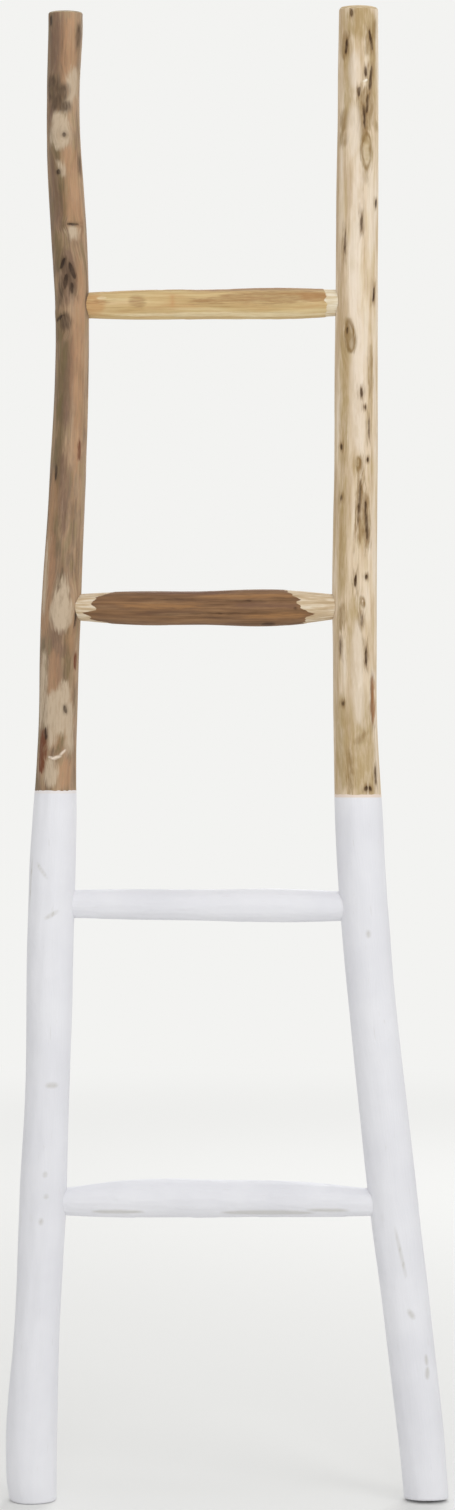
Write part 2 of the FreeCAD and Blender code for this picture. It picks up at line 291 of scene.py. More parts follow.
# %% Right pole: relief and marks
RIGHT_RELIEF = [
    (1351, 22, 40, 15, 0, 1.0), (1351, 22, 22, 7, 0, -0.7), (1166, -20, 40, 16, 0, 1.1),
    (1171, -24, 18, 8, 0, -0.7), (1375, -45, 30, 12, 0, 0.8), (1038, 5, 20, 9, 0, 0.7),
    (990, 22, 60, 12, 0, -0.5), (900, 19, 18, 8, 0, 0.6), (802, 52, 46, 9, 0, -0.8),
    (1459, -44, 24, 9, 0, -0.5), (620, -30, 60, 24, 0, 0.7), (480, 24, 70, 28, 0, 0.8),
    (260, -10, 60, 30, 0, -0.6), (1120, 160, 40, 20, 0, 1.2), (820, -150, 44, 22, 0, 1.2),
    (430, 170, 50, 26, 0, 1.3),
]
RIGHT_MARKS = {
    "dark": [
        (1489, -23, 8, 2.5, 0), (1456, -42, 14, 3, 6), (1462, 36, 20, 3, -12),
        (1424, 34, 24, 3.5, 6), (1430, 18, 10, 2.4, 0), (1410, 0, 9, 2.4, 0),
        (1398, 24, 18, 2, 4), (1385, 14, 20, 2, -4), (1299, 59, 8, 3.5, 0),
        (1279, 10, 15, 1.8, 0), (1259, -36, 22, 2, 0), (1208, 51, 15, 2.6, 6),
        (1171, -27, 7, 2.4, 0), (1109, 12, 9, 1.8, 0), (1094, 21, 4, 2, 0),
        (1075, 33, 18, 1.8, 0), (1055, -45, 6, 2.4, 0), (1042, 30, 4.5, 2.4, 0),
        (1004, -43, 6, 2.4, 0), (1000, 8, 44, 2, 3), (982, 29, 38, 3, -4),
        (925, 30, 4.5, 2.4, 0), (921, 0, 12, 1.8, 0), (882, 17, 11, 2, 0),
        (855, -40, 14, 2, 0), (847, 29, 19, 2.2, 0), (802, 50, 44, 4, 0),
        (799, -35, 4, 2.2, 0), (727, 52, 18, 3, 0), (714, 20, 5, 3, 30),
        (714, 31, 5, 2.6, -20), (1240, 140, 30, 3, 6), (960, -130, 36, 3, -5),
        (1110, 175, 26, 3.5, 0), (830, 150, 40, 3, 4), (1390, -150, 30, 3, 0),
        (569, 4, 7, 4, 0), (250, 1, 42, 2.4, -6), (131, 32, 12, 5, 10), (144, 34, 10, 4, 0),
        (190, 8, 10, 5, -30), (400, 160, 30, 5, 0),
    ],
    "brown": [
        (1457, -46, 26, 8, 4), (1458, 28, 22, 7, 8), (1473, 52, 18, 6, 0), (1392, 20, 44, 17, 0),
        (1166, -19, 28, 7, -6),
        (1372, 12, 24, 8, 0), (1381, -46, 24, 9, 0), (1364, -55, 14, 5, 0), (1364, -39, 12, 4, 0),
        (1327, 20, 16, 4, 0), (1377, 61, 8, 4, 0), (990, 12, 60, 6, 0), (978, 30, 50, 6, 0),
        (885, -38, 26, 8, 4), (765, 13, 14, 4, 40), (1130, 40, 40, 4, 0), (730, -20, 40, 4, 0),
        (1320, 150, 90, 9, 0), (880, -165, 120, 10, 0),
    ],
    "ring": [
        (1351, 22, 38, 12, 0), (1165, -19, 34, 11, -6), (1038, 5, 15, 6, 0),
        (900, 19, 12, 5, -10), (1120, 160, 30, 14, 0), (820, -150, 32, 14, 0),
    ],
    "pale": [
        (1432, -14, 34, 9, 0), (1370, -14, 50, 11, 0), (1294, 0, 110, 12, 0),
        (1120, 4, 140, 12, 0), (830, 6, 100, 12, 0), (1200, -10, 60, 8, 0), (826, 54, 10, 8, 0),
    ],
    "olive": [
        (1428, -31, 52, 8, 0), (1396, -28, 40, 6, -6), (1480, 10, 30, 34, 0), (1440, 45, 70, 8, 0),
        (760, 10, 110, 20, 0), (740, 36, 80, 10, 0), (760, -40, 90, 14, 0),
        (1351, 22, 34, 10, 0), (1166, -19, 32, 10, -6), (1038, 5, 13, 5, 0), (860, 0, 90, 12, 0),
        (1100, -36, 120, 6, 0), (960, -38, 100, 6, 0),
    ],
    "red": [(802, 53, 44, 7, 0)],
    "scar": [(1421, 17, 2, 5, -30)],
}
POLES = {
    "left_pole": {"relief": LEFT_RELIEF, "marks": LEFT_MARKS, "rim": 2.2, "seed": 11},
    "right_pole": {"relief": RIGHT_RELIEF, "marks": RIGHT_MARKS, "rim": 4.2, "seed": 23},
}
MARK_NAMES = ("olive", "purple", "dark", "pale", "orange", "brown", "ring", "red", "scar")
for pole_name, pole in POLES.items():
    print(pole_name, len(pole["relief"]), "mounds,", sum(map(len, pole["marks"].values())), "marks")

# %% [markdown]
# ## Building a pole
#
# The pole could be a curve with a bevel, but a bevel can't carry knots, and it tilts its
# ends.  It could be sculpted, but then nobody could change it.  So it is a grid of rings
# of points: each ring lies flat, as a saw cut does, at one height.  Rings are close
# together where bare wood shows its marks, and further apart under the paint.  A row of
# the grid is a height, how far the ring is drawn in from the bark, and a share of the
# radius that closes the sawn ends.

# %% Sizes of the grid
RING_STEP_BARE = 1.4
RING_STEP_PAINTED = 3.0
POINTS_AROUND = 96
# Rise in mm, numbers of waves round the branch, and their lengths along it in mm.
LUMPS = (0.5, (2, 4), (160, 520))
KNIFE_FLATS = (0.22, (6, 14), (60, 220))
MOUND_FOOT = 0.8
BARK_PROUD = 0.2
FOOT_RIM = 2.6
RIM_TURNS = (15, 35, 60, 90)
CAP_SHARES = (0.93, 0.8, 0.62, 0.42, 0.22, 0.08)
turns = np.linspace(-180, 180, POINTS_AROUND, endpoint=False)


# %% The bark's radius, with its relief
def bark_radius(name, turn, height):
    """Radius of the finished skin in mm, at any turn and height."""
    pole = POLES[name]
    radius = spines[name].at(height)[2]
    relief = 0.0
    for number, (rise, lobes, lengths) in enumerate((LUMPS, KNIFE_FLATS)):
        relief = relief + rise * waves(turn, height, lobes, lengths, pole["seed"] + number)
    for *row, rise in pole["relief"]:
        edge = oval_distance(turn, height, row, radius)
        half = min(row[2], row[3]) / 2
        relief = relief + rise * smooth(half * MOUND_FOOT, -half, edge)
    return radius + relief + BARK_PROUD


def rim_curve(radius, angle):
    """How far from the end, and how far drawn in, a rounded rim is at an angle."""
    bend = math.radians(angle)
    return radius * (1 - math.sin(bend)), radius * (1 - math.cos(bend))


def grid_rows(name):
    """(height, drawn in, share of the radius) for each ring, from the foot up."""
    low, high = spines[name].low, spines[name].high
    line = PAINT_LINE[name]
    rim = POLES[name]["rim"]
    rows = [(low, FOOT_RIM, share) for share in reversed(CAP_SHARES)]
    for angle in reversed(RIM_TURNS):
        down, inwards = rim_curve(FOOT_RIM, angle)
        rows.append((low + down, inwards, 1.0))
    for start, end, step in ((low + FOOT_RIM, line, RING_STEP_PAINTED),
                             (line, high - rim, RING_STEP_BARE)):
        count = round((end - start) / step)
        rows += [(level, 0.0, 1.0) for level in np.linspace(start, end, count, endpoint=False)]
    rows.append((high - rim, 0.0, 1.0))
    for angle in RIM_TURNS:
        down, inwards = rim_curve(rim, angle)
        rows.append((high - down, inwards, 1.0))
    rows += [(high, rim, share) for share in CAP_SHARES]
    return rows


# %% [markdown]
# The taped paint edge isn't quite straight, because paint creeps under tape.  The rings
# near the line are bent by the same small waves, so the paint ends on an edge of the
# mesh and stays crisp from any distance.  A hand saw seldom cuts quite square, so both
# tops drop a little towards the front, and the right foot rises a little there.


# %% The paint's edge and the pole's points
LINE_CREEP = 0.5
CREEP_LOBES, CREEP_LENGTHS = (3, 24), (50, 90)
LINE_REACH = 8.0
LINE_BLEND = 0.4
PAINT_THICKNESS = 0.18
BOX_MARGIN = 0.05
EASE = 0.12
SAW_SLANT = {"left_pole": (0.0, 2.4), "right_pole": (3.4, 2.9)}
SLANT_REACH = 30.0


def line_creep(turn, height, name):
    """How far the paint's edge strays upwards here, in mm, fading away from the line."""
    away = np.abs(height - PAINT_LINE[name]) / LINE_REACH
    stray = waves(turn, 0.0 * turn, CREEP_LOBES, CREEP_LENGTHS, POLES[name]["seed"] + 2)
    return LINE_CREEP * stray * np.exp(-(away**2))


def held_below(value, limit):
    """The value, eased off so that it never passes the limit."""
    return limit - EASE * np.logaddexp(0.0, (limit - value) / EASE)


def saw_cut(name, height, to_front):
    """The height after the slanted saw cuts, for a share of the way to the front."""
    foot_rise, top_drop = SAW_SLANT[name]
    low, high = spines[name].low, spines[name].high
    near_foot = smooth(low + SLANT_REACH, low, height)
    near_top = smooth(high - SLANT_REACH, high, height)
    return height + to_front * (foot_rise * near_foot - top_drop * near_top)


def skin_points(name, rows, let_out=0.0):
    """Points of the skin in mm: ring, place round it, axis, inside the frame's box."""
    level, drawn_in, share = (column[:, None] for column in np.array(rows).T)
    turn = turns[None, :]
    height = level + line_creep(turn, level, name) * (share == 1.0)
    radius = bark_radius(name, turn, height)
    painted = smooth(LINE_BLEND, -LINE_BLEND, level - PAINT_LINE[name])
    radius = (radius + PAINT_THICKNESS * painted - drawn_in) * share + let_out
    right, back, plain_radius = spines[name].at(height)
    angle = np.radians(turn)
    x = right + radius * np.sin(angle)
    y = back - radius * np.cos(angle)
    z = saw_cut(name, height, 0.5 - (y - back) / (2 * plain_radius))
    for low, high, flat in ((cad_low.x, cad_high.x, x), (cad_low.y, cad_high.y, y)):
        flat[:] = held_below(flat, high / MM - BOX_MARGIN)
        flat[:] = -held_below(-flat, -low / MM - BOX_MARGIN)
    z[:] = np.clip(z, cad_low.z / MM, cad_high.z / MM)
    return np.stack((x, y, z), 2)


def skin_mesh(name, points):
    """A closed mesh from rings of points, with a fan at each end, in metres."""
    rings, around = points.shape[:2]
    index = np.arange(rings * around).reshape(rings, around)
    beside = np.roll(index, -1, axis=1)
    quads = np.stack((index[:-1], beside[:-1], beside[1:], index[1:]), 2).reshape(-1, 4)
    faces = quads.tolist()
    ends = np.stack((points[0].mean(0), points[-1].mean(0)))
    first, last = rings * around, rings * around + 1
    faces += [(first, int(b), int(a)) for a, b in zip(index[0], beside[0])]
    faces += [(last, int(a), int(b)) for a, b in zip(index[-1], beside[-1])]
    corners = np.vstack((points.reshape(-1, 3), ends)) * MM
    mesh = bpy.data.meshes.new(name)
    mesh.from_pydata(corners.tolist(), [], faces)
    mesh.update()
    return mesh


def put_in_scene(name, mesh):
    """An object in the scene with this mesh, curve, lamp or camera."""
    made = bpy.data.objects.new(name, mesh)
    bpy.context.scene.collection.objects.link(made)
    return made


# %% [markdown]
# ## Holes for the joints
#
# Each rung ends in a round tenon that is glued into a blind hole in the pole, and one
# countersunk screw from the wall side holds it.  The sizes come from the solids: the
# tenon's tip is the rung's end, its radius is read from a cut near that tip, and the
# screw's place is its own box.  A boolean cuts the holes, because a drilled hole is
# exactly that.


# %% Reading the joints
TIP_DEPTH = 4.0
MORTISE_GAP = 0.15
MORTISE_END_GAP = 0.8
RUNG_NAMES = ("top_rung", "second_rung", "third_rung", "bottom_rung")
SIDES = ("left", "right")
joints = []
for rung_name in RUNG_NAMES:
    rung_corners = corners_of(rung_name)
    low_corner, high_corner = (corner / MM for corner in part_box(rung_name))
    for side, tip, inwards in zip(SIDES, (low_corner.x, high_corner.x), (1, -1)):
        tip_cut = cut_across(rung_corners, RIGHT, tip + inwards * TIP_DEPTH)
        back, height, radius = fit_circle(tip_cut)
        screw_low, screw_high = (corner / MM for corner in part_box(rung_name + "_screw_" + side))
        joints.append({
            "rung": rung_name, "side": side, "inwards": inwards, "radius": radius,
            "tip": Vector((tip, back, height)),
            "head": Vector(((screw_low.x + screw_high.x) / 2, screw_high.y,
                            (screw_low.z + screw_high.z) / 2)),
            "head_radius": (screw_high.x - screw_low.x) / 2,
            "screw_length": screw_high.y - screw_low.y,
        })
print("tenon radius in mm:", round(joints[0]["radius"], 2))
print("screw:", round(joints[0]["screw_length"], 1), "mm long, head radius",
      round(joints[0]["head_radius"], 2), "mm")


# %% Turned shapes and cuts
MORTISE_REACH = 60.0
HEAD_EDGE = 0.4
SHANK_RADIUS = 2.0
HOLE_GAP = 0.1
HOLE_REACH = 8.0


def turned(name, outline, place, towards, steps=48):
    """A closed mesh spun round an axis from (distance along, radius) points, in mm."""
    facing = Vector(towards).to_track_quat("Z", "Y").to_matrix()
    angles = np.linspace(0, 2 * math.pi, steps, endpoint=False)
    rings = [[place + facing @ Vector((radius * math.cos(a), radius * math.sin(a), along))
              for a in angles] for along, radius in outline]
    return skin_mesh(name, np.array(rings))


def baked(carrier):
    """The plain mesh that an object's modifiers make of it."""
    bpy.context.view_layer.update()
    seen = carrier.evaluated_get(bpy.context.evaluated_depsgraph_get())
    return bpy.data.meshes.new_from_object(seen)


def boolean(target, tool_meshes, operation):
    """Replaces the target's mesh by its cut or union with the tools, which don't meet."""
    joined = bmesh.new()
    for tool_mesh in tool_meshes:
        joined.from_mesh(tool_mesh)
        bpy.data.meshes.remove(tool_mesh)
    tool = put_in_scene(target.name + "_tool", bpy.data.meshes.new("tool"))
    joined.to_mesh(tool.data)
    joined.free()
    modifier = target.modifiers.new("cut", "BOOLEAN")
    modifier.operation = operation
    modifier.solver = "EXACT"
    modifier.object = tool
    result = baked(target)
    target.modifiers.clear()
    target.data = result
    bpy.data.objects.remove(tool)


def mortise_tool(joint):
    """What the drill takes out of a pole for one tenon."""
    start = joint["tip"] - Vector((joint["inwards"] * MORTISE_END_GAP, 0, 0))
    radius = joint["radius"] + MORTISE_GAP
    outline = ((0, radius), (MORTISE_REACH, radius))
    return turned("mortise", outline, start, (joint["inwards"], 0, 0))


def screw_tool(joint):
    """What the countersink and the drill take out for one screw."""
    head = joint["head_radius"] + HOLE_GAP
    shank = SHANK_RADIUS + HOLE_GAP
    cone_top = HEAD_EDGE + HOLE_GAP
    outline = ((-HOLE_REACH, head), (cone_top, head), (cone_top + head - shank, shank),
               (joint["screw_length"] + HOLE_GAP, shank))
    return turned("screw_hole", outline, joint["head"], (0, -1, 0))


# %% Make the poles
poles = {}
for pole_name in POLES:
    pole_points = skin_points(pole_name, grid_rows(pole_name))
    pole_object = put_in_scene("peeled_" + pole_name, skin_mesh(pole_name + "_skin", pole_points))
    here = [joint for joint in joints if joint["side"] + "_pole" == pole_name]
    boolean(pole_object, [mortise_tool(joint) for joint in here], "DIFFERENCE")
    boolean(pole_object, [screw_tool(joint) for joint in here], "DIFFERENCE")
    poles[pole_name] = pole_object
    print(pole_object.name, len(pole_object.data.polygons), "faces")

# %% [markdown]
# ## Small helpers for every node tree
#
# Geometry trees and materials are both made of nodes.  One function adds a node, gives it
# its settings, and fills its inputs: with another node's output, which makes a link, or
# with a plain value.  Three shorter ones stand for the nodes that come up most often: a
# step of arithmetic on numbers, one on vectors, and a range laid out on another range.


# %% Adding nodes
def add(tree, kind, inputs=None, **settings):
    """Adds a node to a tree, sets it up and fills its inputs."""
    made = tree.nodes.new(kind)
    for name, value in settings.items():
        setattr(made, name, value)
    for key, value in (inputs or {}).items():
        if isinstance(value, bpy.types.NodeSocket):
            tree.links.new(value, made.inputs[key])
        else:
            made.inputs[key].default_value = value
    return made


def calc(tree, operation, *values):
    """One step of arithmetic on numbers."""
    return add(tree, "ShaderNodeMath", dict(enumerate(values)), operation=operation).outputs[0]


def calc_vector(tree, operation, *values):
    """One step of arithmetic on vectors, whose answer may be a vector or a number."""
    made = add(tree, "ShaderNodeVectorMath", dict(enumerate(values)), operation=operation)
    return made.outputs["Value" if operation in ("LENGTH", "DOT_PRODUCT") else "Vector"]


def remap(tree, value, low, high, start=0.0, end=1.0, slope="LINEAR"):
    """The value's way from low to high, laid out from start to end."""
    limits = dict(enumerate((value, low, high, start, end)))
    return add(tree, "ShaderNodeMapRange", limits, interpolation_type=slope).outputs[0]


def new_tree(name, inputs):
    """A geometry tree with a geometry input and output, and named inputs for its sizes."""
    tree = bpy.data.node_groups.new(name, "GeometryNodeTree")
    tree.interface.new_socket("Geometry", in_out="INPUT", socket_type="NodeSocketGeometry")
    for label, (kind, value) in inputs.items():
        socket = tree.interface.new_socket(label, in_out="INPUT", socket_type="NodeSocket" + kind)
        if value is not None:
            socket.default_value = value
    tree.interface.new_socket("Geometry", in_out="OUTPUT", socket_type="NodeSocketGeometry")
    return tree, add(tree, "NodeGroupInput").outputs


def close_tree(tree, geometry, material):
    """Makes the result real, gives it its material and leads it out of the tree."""
    real = add(tree, "GeometryNodeRealizeInstances", {"Geometry": geometry})
    dressed = add(tree, "GeometryNodeSetMaterial",
                  {"Geometry": real.outputs[0], "Material": material})
    add(tree, "NodeGroupOutput", {"Geometry": dressed.outputs[0]})


def grow(carrier, tree, values):
    """The plain mesh that a tree makes of an object, which then goes."""
    modifier = carrier.modifiers.new(tree.name, "NODES")
    modifier.node_group = tree
    for socket in tree.interface.items_tree:
        if socket.name in values:
            modifier[socket.identifier] = values[socket.name]
    grown = baked(carrier)
    bpy.data.objects.remove(carrier)
    return grown

# %% [markdown]
# ## Colours and materials
#
# Colours are written as the hex codes that a screen shows, and one function turns them
# into the linear values that the shader adds and multiplies.


# %% Colours
def linear(code):
    """The linear colour of an sRGB hex code."""
    shares = [int(code[start:start + 2], 16) / 255 for start in (1, 3, 5)]
    return (*[s / 12.92 if s <= 0.04045 else ((s + 0.055) / 1.055) ** 2.4 for s in shares], 1.0)


def new_material(name, constants):
    """A material, its tree and its shader with some of its constants set."""
    material = bpy.data.materials.new(name)
    material.use_nodes = True
    shader = material.node_tree.nodes["Principled BSDF"]
    for label, value in constants.items():
        shader.inputs[label].default_value = value
    return material, material.node_tree, shader


def named(tree, name):
    """The value of a point attribute."""
    return add(tree, "ShaderNodeAttribute", attribute_name=name).outputs


def own_place(tree):
    """The place on the object, in metres."""
    return add(tree, "ShaderNodeTexCoord").outputs["Object"]


def grain_noise(tree, across, along, detail=3.0, shift=0.0):
    """Noise whose blotches are that wide and long in mm, drawn out along the fibres."""
    size = (1 / across, 1 / across, 1 / along)
    laid = add(tree, "ShaderNodeMapping", {"Vector": named(tree, "grain")["Vector"],
                                           "Scale": size, "Location": (shift, shift, shift)})
    noise = {"Vector": laid.outputs[0], "Scale": 1.0, "Detail": detail, "Roughness": 0.55}
    return add(tree, "ShaderNodeTexNoise", noise).outputs[0]


def lay_over(tree, under, over, factor):
    """One colour over another, as thick as the factor says."""
    return add(tree, "ShaderNodeMix", {0: factor, 6: under, 7: over}, data_type="RGBA").outputs[2]


def ramp(tree, factor, stops):
    """A colour between stops, which are rows of place and hex code."""
    made = add(tree, "ShaderNodeValToRGB", {"Fac": factor})
    elements = made.color_ramp.elements
    while len(elements) < len(stops):
        elements.new(0.5)
    for element, (place, code) in zip(elements, stops):
        element.position = place
        element.color = linear(code)
    return made.outputs["Color"]


def finish_surface(tree, shader, colour, height, strength, depth):
    """Gives the shader its colour, and a relief whose full height is the depth in mm."""
    tree.links.new(colour, shader.inputs["Base Color"])
    relief = add(tree, "ShaderNodeBump",
                 {"Height": height, "Strength": strength, "Distance": depth * MM})
    tree.links.new(relief.outputs[0], shader.inputs["Normal"])

# %% [markdown]
# ## Peeled and whittled teak
#
# The wood is teak sapwood that was peeled wet, dried and never finished: open fibres, no
# gloss, and colours that run along the branch.  All the bare wood shares one recipe.
# Broad blotches come first, then streaks a few millimetres wide, then fine fibres.  The
# stains, knots and cracks of the tables lie on top, each with an edge roughened by noise,
# because a knot's edge follows the fibres.  The fibres also raise the surface a little,
# and cracks sink into it.  A bitmap could hold all this, but would blur up close and
# would show a seam.

# %% The wood recipe
GRAIN_RADIUS = 21.0
BARE_WOOD = {"Roughness": 0.62, "Sheen Weight": 0.04, "Sheen Roughness": 0.6,
             "Specular IOR Level": 0.15}
# Each noise has its width across the fibres and its length along them in mm, and a shift
# that sets it apart from the others.
DRIFT = {"across": 8.0, "along": 34.0, "shift": 15.2}
STREAKS = {"across": 2.6, "along": 90.0, "shift": 7.3}
FIBRES = {"across": 0.7, "along": 34.0, "detail": 2.0, "shift": 3.1}
RAGGED_EDGE = {"across": 1.6, "along": 14.0, "shift": 11.7}
MOTTLE = {"across": 2.2, "along": 12.0, "detail": 4.0, "shift": 4.9}
UNDER_SKIN = {"across": 4.0, "along": 26.0, "detail": 4.0, "shift": 21.4}
RAGGED_REACH = 6.0
SKIN_RAGGED_REACH = 3.0
SKIN_BLEND = 0.35
RING_INSET = 1.6
CRACK_DEPTH = 2.5


def stained(tree, colour, stains, ragged):
    """The colour with the stains laid over it, and how much of a crack is at each point."""
    mottled = remap(tree, grain_noise(tree, **MOTTLE), 0.36, 0.6, 0.6, 1.0)
    cracked = None
    for mark, code, outset, softness, raggedness, share in stains:
        away = named(tree, mark)["Fac"]
        if mark == "ring":
            away = calc(tree, "ABSOLUTE", calc(tree, "ADD", away, RING_INSET))
        away = calc(tree, "SUBTRACT", away, outset)
        stray = calc(tree, "MULTIPLY_ADD", ragged, RAGGED_REACH * raggedness, away)
        inside = remap(tree, stray, softness, -softness, 0.0, share, "SMOOTHSTEP")
        inside = calc(tree, "MULTIPLY", inside, mottled)
        colour = lay_over(tree, colour, linear(code), inside)
        if mark == "dark":
            cracked = inside
    return colour, cracked


def wood(name, blotch, stops, tints, streak, stains, weathered_and_shaded=0.0, bared=None):
    """Bare wood.

    blotch: width and length in mm of the broad patches; stops: their colours; tints:
    the hues that drift over them and their strength; streak: dark colour, light colour
    and strength; stains: rows of mark, colour, outset in mm, softness in mm, raggedness
    and strength; weathered_and_shaded: how much darker the left side and lighter the
    right side are drawn, partly the wood's weathering and partly painted shade and light
    from the lamp on the right; bared: the colours of the wood where a knife has taken
    the skin off.
    """
    material, tree, shader = new_material(name, BARE_WOOD)
    round_it = add(tree, "ShaderNodeSeparateXYZ", {0: named(tree, "grain")["Vector"]}).outputs[0]
    # Painted shade and real weathering: the left side of the wood is drawn darker and the right side
    # lighter, as if light fell from the right.
    side = remap(tree, round_it, -0.5 * GRAIN_RADIUS, 0.6 * GRAIN_RADIUS,
                 -weathered_and_shaded, weathered_and_shaded, "SMOOTHSTEP")
    broad = calc(tree, "ADD", grain_noise(tree, *blotch, detail=4.0), side)
    hues, share = tints
    drift = ramp(tree, grain_noise(tree, **DRIFT), hues)
    colour = lay_over(tree, ramp(tree, broad, stops), drift, share)
    dark, light, strength = streak
    streaky = calc(tree, "ADD", remap(tree, grain_noise(tree, **STREAKS), 0.36, 0.64),
                   remap(tree, grain_noise(tree, **FIBRES), 0.3, 0.7))
    lines = ramp(tree, calc(tree, "MULTIPLY", streaky, 0.5), ((0.15, dark), (0.85, light)))
    colour = lay_over(tree, colour, lines, strength)
    ragged = calc(tree, "SUBTRACT", grain_noise(tree, **RAGGED_EDGE), 0.5)
    colour, cracked = stained(tree, colour, stains, ragged)
    raised = streaky
    if cracked is not None:
        raised = calc(tree, "MULTIPLY_ADD", cracked, -CRACK_DEPTH, streaky)
    if bared is not None:
        under = ramp(tree, grain_noise(tree, **UNDER_SKIN), bared)
        skin = calc(tree, "MULTIPLY_ADD", ragged, SKIN_RAGGED_REACH, named(tree, "skin")["Fac"])
        colour = lay_over(tree, colour, under,
                          remap(tree, skin, SKIN_BLEND, -SKIN_BLEND, slope="SMOOTHSTEP"))
    finish_surface(tree, shader, colour, raised, 0.5, 0.25)
    return material

# %% Bare wood of the poles
greyed_teak = wood(
    "greyed_peeled_teak", (13.0, 55.0),
    ((0.36, "#5f4c38"), (0.46, "#7c664e"), (0.54, "#9b7f63"), (0.64, "#bb9d7f")),
    (((0.36, "#85754a"), (0.46, "#86705f"), (0.54, "#b48f70"), (0.64, "#9f8d68")), 0.42),
    ("#64503b", "#c2a98c", 0.28),
    [("olive", "#6a5b3a", 1.0, 4.0, 2.0, 0.65), ("purple", "#755a4b", 1.0, 4.0, 2.0, 0.7),
     ("orange", "#ba8f6c", 1.0, 4.0, 2.0, 0.6), ("pale", "#c2ae95", 0.5, 3.8, 2.6, 1.15),
     ("brown", "#574535", 1.5, 4.0, 1.2, 0.95), ("red", "#72462f", 0.5, 1.8, 1.4, 1.1),
     ("dark", "#5a4633", 1.2, 2.2, 1.0, 0.55), ("dark", "#33241a", 0.1, 0.8, 0.6, 0.95),
     ("scar", "#ead9c6", 0.1, 1.0, 0.1, 1.1)],
    # Left side drawn darker and right side lighter: part weathering, part painted shade.
    weathered_and_shaded=0.10)
pale_teak = wood(
    "pale_peeled_teak", (9.0, 80.0),
    ((0.36, "#b89d76"), (0.45, "#d1ba97"), (0.53, "#e4d1b4"), (0.64, "#f0e3d0")),
    (((0.36, "#cab180"), (0.5, "#e8cfb7"), (0.62, "#d6bd95")), 0.3),
    ("#b3956c", "#f2e5d1", 0.27),
    [("olive", "#a68b57", 2.0, 5.0, 2.2, 0.7), ("brown", "#94784c", 1.0, 3.0, 1.8, 0.8),
     ("pale", "#eedfcd", 1.0, 4.0, 1.0, 0.7), ("ring", "#8f744c", 1.7, 1.8, 1.0, 1.0),
     ("dark", "#8a6b43", 2.0, 2.2, 1.4, 0.7), ("dark", "#452f1b", 0.2, 0.9, 0.6, 1.0),
     ("red", "#a2734a", 0.4, 2.0, 1.6, 0.9), ("scar", "#f2e9da", 0.0, 0.8, 0.4, 1.0)],
    # Left side drawn a little darker and right side lighter: part weathering, part painted shade.
    weathered_and_shaded=0.04)

# %% Bare wood of the rungs
yellow_teak = wood(
    "whittled_yellow_teak", (9.0, 70.0),
    ((0.36, "#b99564"), (0.46, "#cbab78"), (0.55, "#d7be8b"), (0.66, "#e0cc9f")),
    (((0.36, "#c6986a"), (0.5, "#d6bb86"), (0.63, "#c0a877")), 0.35),
    ("#b28c58", "#e4d0a2", 0.3),
    [("orange", "#c79765", 0.5, 3.0, 1.5, 0.7), ("brown", "#9c744b", 0.5, 2.6, 1.8, 0.7),
     ("purple", "#a48570", 0.5, 2.4, 1.4, 0.75), ("pale", "#e9d8b1", 0.0, 1.4, 1.0, 0.85)],
    bared=((0.36, "#d6c3a0"), (0.5, "#e2d4b8"), (0.62, "#eee3cd")))
brown_teak = wood(
    "brown_skinned_teak", (6.0, 60.0),
    ((0.36, "#604631"), (0.46, "#74553e"), (0.55, "#836349"), (0.66, "#9a7a5a")),
    (((0.36, "#644839"), (0.5, "#866141"), (0.63, "#a0764f")), 0.35),
    ("#573d29", "#a5815b", 0.36),
    [("orange", "#aa7d50", 0.5, 2.4, 1.6, 0.7), ("purple", "#745444", 0.5, 2.4, 1.6, 0.7),
     ("dark", "#432c1c", 0.0, 1.4, 0.8, 0.85)],
    bared=((0.36, "#bfa684"), (0.5, "#d2bc9c"), (0.62, "#e2d3bb")))
print("wood materials:", [m.name for m in bpy.data.materials if "teak" in m.name])

# %% [markdown]
# ## End grain
#
# A saw has cut through the fibres at both ends.  A sawn end shows rings round the pith and
# open pores, so its pattern follows the distance from the branch's own centre instead of
# the fibres.

# %% End grain
RING_WIDTH = 2.4
WAVE_PERIOD = 2 * math.pi / 20


def end_grain(name, light, dark, pole_name):
    """Rings round the pole's own centre at its top; the wave's period at scale 1 is fixed."""
    material, tree, shader = new_material(name, {"Roughness": 0.75})
    right, back, _ = spines[pole_name].at(spines[pole_name].high)
    centre = Vector((right, back, spines[pole_name].high)) * MM
    place = own_place(tree)
    centred = add(tree, "ShaderNodeMapping", {"Vector": place, "Location": -centre}).outputs[0]
    rings = add(tree, "ShaderNodeTexWave",
                {"Vector": centred, "Scale": WAVE_PERIOD / (RING_WIDTH * MM), "Distortion": 3.4,
                 "Detail": 2.0, "Detail Scale": 0.5},
                wave_type="RINGS", rings_direction="Z", wave_profile="SAW")
    colour = ramp(tree, rings.outputs["Fac"], ((0.35, light), (0.97, dark)))
    pores = add(tree, "ShaderNodeTexNoise", {"Vector": place, "Scale": 900.0, "Detail": 2.0}).outputs[0]
    colour = lay_over(tree, colour, linear(dark), remap(tree, pores, 0.55, 0.8))
    finish_surface(tree, shader, colour, pores, 0.5, 0.3)
    return material


sawn_ends = {
    "left_pole": end_grain("sawn_greyed_teak", "#b5a48b", "#98856c", "left_pole"),
    "right_pole": end_grain("sawn_pale_teak", "#d9c6a5", "#bda47d", "right_pole"),
}
print("sawn ends:", [material.name for material in sawn_ends.values()])

# %% [markdown]
# ## Matt white paint
#
# The lower part was brushed with matt chalky paint, two coats over bare wood.  The wood
# still shows through as relief: soft fibres, knots and a few scuffs.  Paint hides the
# colour below almost fully, except at the taped edge, where it is thin and looks cream.

# %% Paint
THIN_PAINT = {"left_pole": 0.25, "right_pole": 0.75}
THIN_FROM, THIN_TO = 3.6, 2.2
SCUFFS = {"across": 3.0, "along": 22.0, "detail": 4.0, "shift": 5.5}
BRUSH_HAIRS = {"across": 1.1, "along": 40.0, "shift": 2.2}
BRUSH_DABS = {"across": 6.0, "along": 26.0, "shift": 9.1}


